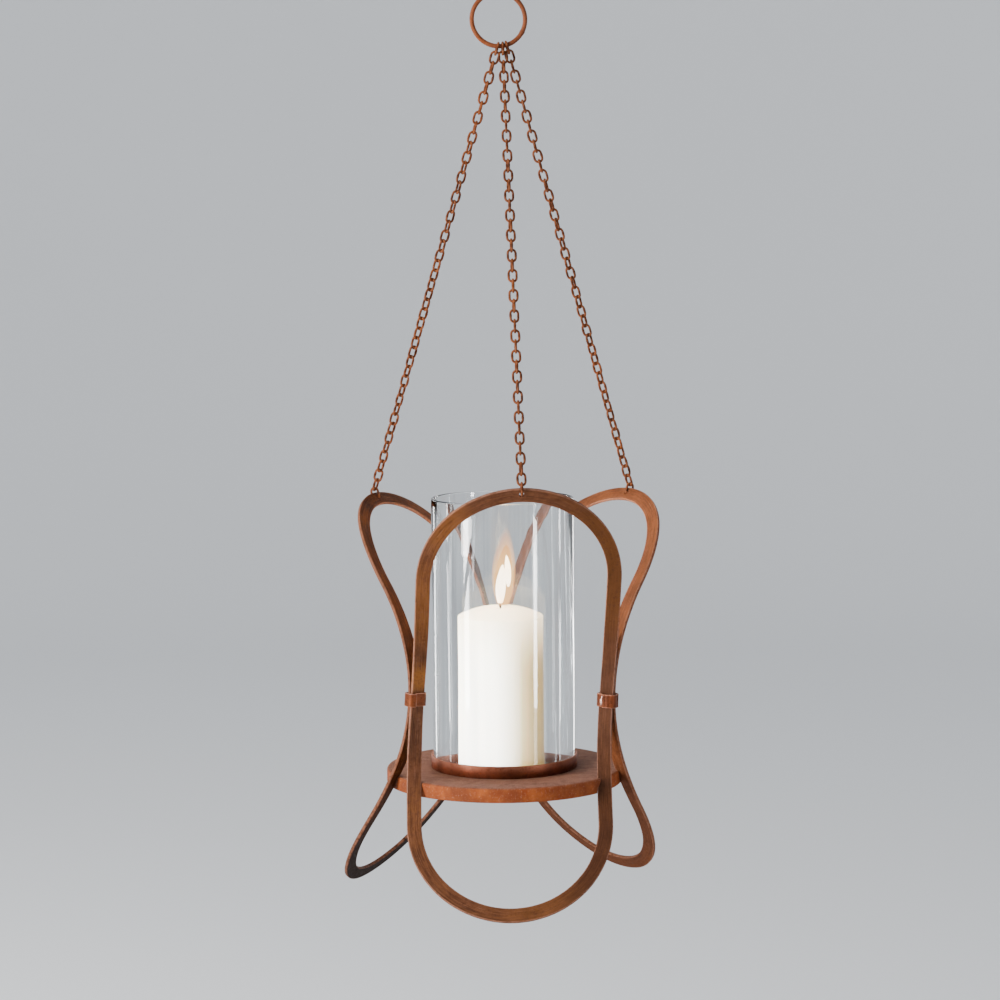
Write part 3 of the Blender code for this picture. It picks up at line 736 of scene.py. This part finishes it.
def build_chain(name, mat):
    top_centre, top_down, top_wide, half = link_frame(f"chain_{name}_top_link")
    end_centre, end_down, end_wide, _ = link_frame(f"chain_{name}_end_link")
    middle_half = half - LINK_WIRE / 2
    width = min(2 * (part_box(f"chain_{name}_top_link")[1] - top_centre).y, LINK_WIDTH)
    single_links = (("top", top_centre, top_down, top_wide), ("end", end_centre, end_down, end_wide))
    for which, centre, down, wide in single_links:
        data = new_data()
        add_link(data, centre, down, wide, middle_half, width, 1)
        node = f"chain_{name}_{which}_link"
        mesh = finish_mesh(node, data)
        place(f"wire_{name}_{which}_link", mesh, mat, body_of_node(node), [node])

    first = top_centre + top_down * (middle_half - LINK_WIRE - LINK_PLAY["top"])
    last = end_centre - end_down * (middle_half - LINK_WIRE - LINK_PLAY["end"])
    span = last - first
    down = span.normalized()
    count = int(span.length / LINK_PITCH)
    count -= 1 - count % 2
    pitch = (span.length - LINK_WIRE) / count
    across = (top_wide - down * top_wide.dot(down)).normalized()
    side = down.cross(across)
    end_angle = math.atan2(end_wide.dot(side), end_wide.dot(across))
    quarter = math.pi / 2
    turn = (end_angle - quarter * (count + 1) + quarter) % math.pi - quarter
    data = {part: new_data() for part in RUN_PARTS}
    for i in range(count):
        part = RUN_PARTS[min(i * len(RUN_PARTS) // count, len(RUN_PARTS) - 1)]
        sway = random.uniform(-LINK_TURN, LINK_TURN) if 0 < i < count - 1 else 0.0
        angle = quarter * (i + 1) + turn * (i + 1) / (count + 1) + sway
        wide = across * math.cos(angle) + side * math.sin(angle)
        tilt = wide * random.uniform(-LINK_TILT, LINK_TILT)
        along = (down + tilt).normalized()
        wide = (wide - along * wide.dot(along)).normalized()
        centre = first + down * (LINK_WIRE / 2 + pitch * (i + 0.5))
        add_link(data[part], centre, along, wide, (pitch + LINK_WIRE) / 2, width, i)
    for part in RUN_PARTS:
        node = f"chain_{name}_{part}_run"
        mesh = finish_mesh(node, data[part])
        place(f"wire_{name}_{part}_links", mesh, mat, body_of_node(node), [node])


def build_chains():
    mat = rust("chain_rust", RUST_COLOURS["chain"], wear_and_highlight_amount=0.3, streaks=False, rough=0.5, deep=0.9)
    for name in ("front", "left", "right"):
        build_chain(name, mat)


# ---------------------------------------------------------------- collars

def build_collar(corner, azimuth, overlap, mat):
    """Strap wrapped round two bars, its ends overlapping on the outer side."""
    node = f"collar_{corner}"
    points = np.array([v.co for v in frame["nodes"][node].data.vertices])
    out = Vector((math.cos(azimuth), math.sin(azimuth), 0))
    centre = Vector(points.mean(0))
    offsets = points - np.array(centre)
    upper = offsets[:, 2] > 0
    lean = Vector(offsets[upper].mean(0) - offsets[~upper].mean(0)).normalized()
    out = (out - lean * out.dot(lean)).normalized()
    across = lean.cross(out)
    length = float(np.ptp(offsets @ np.array(out)))
    width = float(np.ptp(offsets @ np.array(across)))
    height = float(np.ptp(offsets @ np.array(lean)))
    rough = 0.00045 if corner == WELDED_CORNER else 0.00018
    strap, wear = rounded_bar(height, STRAP_WALL, 0.0005, face_steps=4, corner_steps=3)
    data = new_data()
    sections = []
    half_x, half_y = length / 2 - STRAP_WALL / 2, width / 2 - STRAP_WALL / 2
    for k in range(STRAP_STEPS):
        a = 2 * math.pi * k / STRAP_STEPS
        cx, sx = math.cos(a), math.sin(a)
        reach = (abs(cx / half_x) ** STRAP_POWER + abs(sx / half_y) ** STRAP_POWER) ** (-1 / STRAP_POWER)
        x, y = reach * cx, reach * sx
        normal = Vector((abs(x / half_x) ** (STRAP_POWER - 1) * math.copysign(1 / half_x, x),
                         abs(y / half_y) ** (STRAP_POWER - 1) * math.copysign(1 / half_y, y))).normalized()
        dent = rough * noise.noise(Vector((x * 320, y * 320, azimuth * 5)))
        past_start = (math.degrees(a) - overlap[0]) % 360
        inside = min(past_start, overlap[1] - overlap[0] - past_start)
        share = max(0.0, min(1.0, inside / 4))
        layer, sag = STRAP_LAYER * share, STRAP_SAG * share
        middle = centre + out * x + across * y
        outward = out * normal.x + across * normal.y
        sections.append([middle + lean * (h - sag) + outward * (t + dent + layer) for h, t in strap])
    add_sweep(data, sections, wear[None, :])
    place(f"strap_{corner}", finish_mesh(node, data), mat, "frame", [node])

    if corner == WELDED_CORNER:
        weld_at = centre - out * (half_x * 0.30) - across * (half_y + STRAP_WALL / 2)
        build_strap_weld(weld_at, lean, out, across, height)


def build_strap_weld(at, lean, out, across, height):
    """Shiny lumps of weld that hold the strap's end down."""
    mat = rust("weld_bead", RUST_COLOURS["strap_weld"], grain=1.6, streaks=False, metallic=0.6, rough=0.24,
               deep=0.8)
    data = new_data()
    steps = 14
    for share, aside, fat, tall in STRAP_WELD_LUMPS:
        middle = at + lean * (share * height) + out * aside
        sections = []
        for k in range(steps + 1):
            t = 2 * k / steps - 1
            round_ = math.sqrt(max(0.0, 1 - t * t)) * fat + 0.00005
            ring = []
            for x, y in wire_circle(round_, 14):
                bump = 1 + 0.22 * noise.noise((middle + lean * (t * tall) + out * x + across * y) * 700)
                ring.append(middle + lean * (t * tall) + out * (x * bump) + across * (0.55 * y * bump))
            sections.append(ring)
        add_sweep(data, sections, 0.9, closed=False, caps=True)
    place("strap_weld", finish_mesh("strap_weld", data), mat, "frame")


def build_collars():
    mat = rust("collar_tint", RUST_COLOURS["strap"], grain=1.2, streaks=False, metallic=0.15, rough=0.42,
               deep=0.8)
    for corner, (azimuth, overlap) in CORNERS.items():
        build_collar(corner, azimuth, overlap, mat)


# ---------------------------------------------------------------- tray, holder, glass

def build_tray(loops):
    low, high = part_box("tray")
    radius, top, foot = high.x, high.z, low.z
    sheet, bend, edge = TRAY_SHEET, TRAY_BEND, TRAY_EDGE
    profile = [(0, top)]
    wear = [0.0]
    for share in (0.3, 0.6, 0.8, 0.92):
        profile.append((radius * share, top))
        wear.append(0.0)
    profile += arc((radius - bend, top - bend), bend, 90, 0, 5)
    wear += [0.1, 0.3, 0.6, 0.85, 1.0, 1.0]
    profile += [(radius, (top + foot) / 2), (radius, foot + edge), (radius - edge, foot)]
    profile += [(radius - sheet + edge, foot), (radius - sheet, foot + edge), (radius - sheet, top - bend)]
    profile += [(radius - bend - sheet, top - sheet), (0, top - sheet)]
    wear += [1.0] * 6 + [0.2, 0.0]
    mesh = lathe("tray_sheet", profile, 288, wear)
    obj = place("tray_sheet", mesh, tray_rust(), "frame", ["tray"])
    notches = new_data()
    play = 2 * NOTCH_CLEARANCE
    outline, _ = rounded_bar(BAR_WIDTH + play, BAR_THICKNESS + play, BAR_CORNER, 2, 2)
    for loop in loops.values():
        for side in (-1, 1):
            sections = []
            for height in np.linspace(foot - NOTCH_REACH, top + NOTCH_REACH, 7):
                v = float(np.interp(height, loop.height, loop.v))
                width, face = loop.bar_axes(v, (float(side), 0.0))
                middle = loop.point(side * LOOP_HALF_WIDTH, v)
                sections.append([middle + width * x + face * y for x, y in outline])
            add_sweep(notches, sections, closed=False, caps=True)
    cut(obj, finish_mesh("notches", notches))
    obj.data.shade_smooth()
    obj.data.set_sharp_from_angle(angle=SHARP_ANGLE)
    build_tray_welds(loops, top - sheet)


def build_tray_welds(loops, underside):
    """Lumpy beads under the sheet along each side bar's inner edge."""
    mat = rust("tray_bead", RUST_COLOURS["tray_bead"], grain=0.8, streaks=False, metallic=0.4, rough=0.4)
    for name, loop in loops.items():
        for side, side_name in ((-1, "left"), (1, "right")):
            node = f"tray_weld_{name}_{side_name}"
            centre = centre_of(node)
            v = float(np.interp(underside, loop.height, loop.v))
            width, face = loop.bar_axes(v, (float(side), 0.0))
            along = Vector((face.x, face.y, 0)).normalized()
            inward = Vector((-width.x, -width.y, 0)).normalized()
            data = new_data()
            sections = []
            steps = 16
            for k in range(steps + 1):
                t = 2 * k / steps - 1
                fat = 0.0021 * math.sqrt(max(0.0, 1 - t ** 4)) + 0.0001
                fat *= 1 + 0.3 * noise.noise(Vector((t * 3, centre.x * 50, centre.y * 50)))
                middle = centre + along * (t * 0.0042) - inward * 0.0012
                middle.z = underside - 0.0004
                section = []
                for p, q in wire_circle(fat, 12):
                    section.append(middle + inward * p + UP * (min(q, 0.0004)))
                sections.append(section)
            add_sweep(data, sections, 0.8, closed=False, caps=True)
            place(f"bead_{name}_{side_name}", finish_mesh(node, data), mat, "frame", [node])


def build_holder():
    low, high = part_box("glass_holder")
    outer, top = high.x, high.z
    edge = HOLDER_EDGE
    inner = outer - HOLDER_WALL
    profile = [(outer, low.z + 0.0001), (outer, (low.z + top) / 2), (outer, top - edge)]
    wear = [0.0, 0.0, 0.7]
    profile += arc((outer - edge, top - edge), edge, 30, 90, 2)
    profile += arc((inner + edge, top - edge), edge, 90, 180, 3)
    wear += [1.0] * 7
    profile += [(inner, (low.z + top) / 2), (inner, low.z + 0.0001)]
    wear += [0.0, 0.0]
    mat = rust("holder_tint", RUST_COLOURS["holder"], wear_and_highlight_amount=0.5, grain=0.5, streaks=False, metallic=0.2,
               rough=0.42)
    mesh = lathe("holder_band", profile, 192, wear, wobble=0.002)
    place("holder_band", mesh, mat, "frame", ["glass_holder"])


def build_glass():
    low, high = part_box("glass_chimney")
    lip = GLASS_WALL / 2
    middle = high.x - lip
    profile = arc((middle, high.z - lip), lip, 0, 180, 10)
    profile += arc((middle, low.z + lip), lip, 180, 360, 8)
    mesh = lathe("chimney", profile, 256)
    place("chimney", mesh, clear_glass(), "glass", ["glass_chimney"])


# ---------------------------------------------------------------- candle

def build_candle():
    low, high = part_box("candle")
    axis = (low + high) / 2
    radius = (high.x - low.x) / 2
    side_top = high.z - CANDLE_DOME
    foot, edge = CANDLE_FOOT, CANDLE_EDGE
    profile = [(0, low.z + 0.0002), (radius * 0.5, low.z + 0.0002)]
    profile += arc((radius - foot, low.z + foot), foot, -90, 0, 5)
    for k in range(1, 12):
        profile.append((radius, low.z + foot + (side_top - 0.002 - low.z - foot) * k / 12))
    profile += arc((radius - edge, side_top - edge), edge, 0, 58, 5)
    profile += [(radius * share, side_top + rise) for share, rise in CANDLE_RISES]
    profile += [(reach, side_top + rise) for reach, rise in WICK_HOLE]
    data = new_data()
    steps = 128
    sections = []
    for k in range(steps):
        a = 2 * math.pi * k / steps
        section = []
        for r, h in profile:
            ripple = 1 + 0.004 * noise.noise(Vector((1.6 * math.cos(a), 1.6 * math.sin(a), h * 22)))
            section.append((axis.x + r * ripple * math.cos(a), axis.y + r * ripple * math.sin(a), h))
        sections.append(section)
    add_sweep(data, sections)
    mesh = finish_mesh("pillar", data, weld=True)
    place("pillar", mesh, candle_wax(high.z, axis.x, radius), "candle", ["candle"])
    build_wick(side_top)


def build_wick(side_top):
    """Charred braid, leaning a little to the side."""
    low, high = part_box("wick")
    foot = (low + high) / 2
    radius = (high.x - low.x) / 2 * 0.85
    start, end = side_top + 0.003, high.z
    data = new_data()
    sections = []
    steps = 24
    for k in range(steps + 1):
        t = k / steps
        middle = Vector((foot.x + WICK_LEAN * t ** 2.2, foot.y, start + (end - start) * t))
        fat = radius * (1 - 0.35 * t ** 3) * (1 + 0.12 * math.sin(26 * t))
        twist = 5 * t
        section = []
        for s in range(10):
            a = 2 * math.pi * s / 10
            ply = 1 + 0.16 * math.cos(3 * a + twist * 2)
            section.append(middle + Vector((math.cos(a), math.sin(a), 0)) * fat * ply)
        sections.append(section)
    add_sweep(data, sections, closed=False, caps=True)
    mesh = finish_mesh("braided_wick", data)
    place("braided_wick", mesh, charred_cotton(), "candle", ["wick"])
    build_flame(Vector((foot.x, foot.y, high.z)))


def flame_shape(data, base, height, fattest, lean, blunt=0.06):
    """A tongue of gas: nearly blunt at its foot, drawn out to its tip, leaning sideways as it rises."""
    steps = 32
    sections = []
    for k in range(steps + 1):
        t = k / steps
        swell = math.sqrt(max(0.0, math.sin(math.pi * (t + blunt) / (1 + blunt))))
        fat = fattest * swell * (1 - 0.35 * t ** 3)
        middle = base + Vector((lean * t ** 1.9, 0, height * t))
        sections.append([middle + Vector((x, 0.8 * y, 0)) for x, y in wire_circle(max(fat, 0.0001), 24)])
    add_sweep(data, sections, closed=False, caps=True)


def build_flame(wick_top):
    """A bright core with a second tongue on its right, inside shells of fainter and fainter glow."""
    foot = wick_top - UP * FLAME_SINK
    core = new_data()
    flame_shape(core, foot, 0.033, 0.0046, 0.0024)
    flame_shape(core, foot + Vector((0.0074, 0.0004, 0.0135)), 0.0275, 0.0030, -0.0014, blunt=0.0)
    mat = flame_light("flame_core", foot.z, foot.z + 0.043, CORE_COLOURS, 30.0, 1.0)
    obj = place("flame_core", finish_mesh("flame_core", core), mat, "candle")
    halo = new_data()
    for k in range(HALO_SHELLS):
        flame_shape(halo, foot + Vector((0.0026, 0, -0.0006 - 0.0003 * k)), 0.043 + 0.004 * k,
                    0.0068 + 0.0007 * k, 0.0034)
    mat = flame_light("flame_halo", foot.z, foot.z + 0.066, HALO_COLOURS, 3.4, 0.12)
    place("flame_halo", finish_mesh("flame_halo", halo), mat, "candle")
    lamp = bpy.data.lights.new("flame_lamp", "POINT")
    lamp.energy = FLAME_POWER
    lamp.color = FLAME_COLOUR
    lamp.shadow_soft_size = 0.008
    lamp_obj = bpy.data.objects.new("flame_lamp", lamp)
    bpy.context.scene.collection.objects.link(lamp_obj)
    lamp_obj.location = foot + Vector((0.001, 0, 0.02))
    lamp_obj.visible_camera = False
    lamp_obj.visible_transmission = False
    lamp_obj.visible_glossy = False
    lamp_obj.parent = obj
    lamp_obj.matrix_parent_inverse = Matrix.Identity(4)


# ---------------------------------------------------------------- stage

def build_floor():
    """A round studio cove: pale floor that curves up into a wall all round."""
    paint = Paint("pale_cove", Roughness=0.95)
    tone = paint.noise(0.6, 2.0, 0.5)
    paint.set(Base_Color=paint.mix(tone, (0.78, 0.79, 0.80), (0.82, 0.83, 0.84)), Specular_IOR_Level=0.0)
    ground = cad_low.z - FLOOR_DROP
    reach, bend, wall = COVE_RADIUS, COVE_BEND, COVE_WALL
    outline = [(0, ground), (reach * 0.3, ground)]
    outline += arc((reach - bend, ground + bend), bend, -90, 0, 16) + [(reach, ground + wall)]
    outline += [(reach + 0.1, ground + wall), (reach + 0.1, ground - 0.1), (0, ground - 0.1)]
    mesh = lathe("floor", outline, 96)
    mesh.materials.append(paint.material)
    mesh.shade_smooth()
    mesh.set_sharp_from_angle(angle=math.radians(30))
    floor = bpy.data.objects.new("floor", mesh)
    bpy.context.scene.collection.objects.link(floor)


def add_softbox(name, position, size, power, colour=(1.0, 1.0, 1.0), target=Vector((0, 0, -0.55))):
    light = bpy.data.lights.new(name, "AREA")
    light.shape = "RECTANGLE"
    light.size, light.size_y = size
    light.energy = power
    light.color = colour
    obj = bpy.data.objects.new(name, light)
    bpy.context.scene.collection.objects.link(obj)
    obj.location = position
    obj.rotation_euler = (target - Vector(position)).to_track_quat("-Z", "Y").to_euler()
    obj.visible_camera = False
    return obj


def build_lights():
    world = bpy.data.worlds.new("studio")
    bpy.context.scene.world = world
    world.use_nodes = True
    background = world.node_tree.nodes["Background"]
    background.inputs["Color"].default_value = WORLD_COLOUR
    background.inputs["Strength"].default_value = WORLD_STRENGTH
    add_softbox("key", (-2.5, -1.15, 0.25), (1.0, 1.8), 200.0, (1.0, 0.985, 0.965))
    add_softbox("fill", (2.4, -2.0, 0.4), (1.6, 1.6), 4.0, (0.93, 0.96, 1.0))
    for name, azimuth, width, power in STRIPS:
        a = math.radians(azimuth)
        position = Vector((math.sin(a), -math.cos(a), 0)) * STRIP_DISTANCE + UP * cad_low.z * 0.5
        strip = add_softbox(name, position, (width, STRIP_HEIGHT), power)
        strip.visible_diffuse = False


def build_camera():
    camera = bpy.data.cameras.new("camera")
    camera.lens = CAMERA_LENS
    camera.sensor_width = 36.0
    camera.clip_start, camera.clip_end = 0.05, 60.0
    obj = bpy.data.objects.new("camera", camera)
    bpy.context.scene.collection.objects.link(obj)
    a = CAMERA_AZIMUTH
    back = Vector((math.sin(a), -math.cos(a), 0))
    right = Vector((math.cos(a), math.sin(a), 0))
    obj.location = back * CAMERA_DISTANCE + right * CAMERA_ASIDE + UP * CAMERA_HEIGHT
    turn = Matrix.Rotation(a, 4, "Z") @ Matrix.Rotation(math.pi / 2 - CAMERA_DOWN, 4, "X")
    obj.rotation_euler = (turn @ Matrix.Rotation(-CAMERA_ROLL, 4, "Z")).to_euler()
    bpy.context.scene.camera = obj


build_camera()
build_floor()
build_lights()
build_ring()
build_chains()
bar_loops = build_loops()
build_collars()
build_tray(bar_loops)
build_holder()
build_glass()
build_candle()
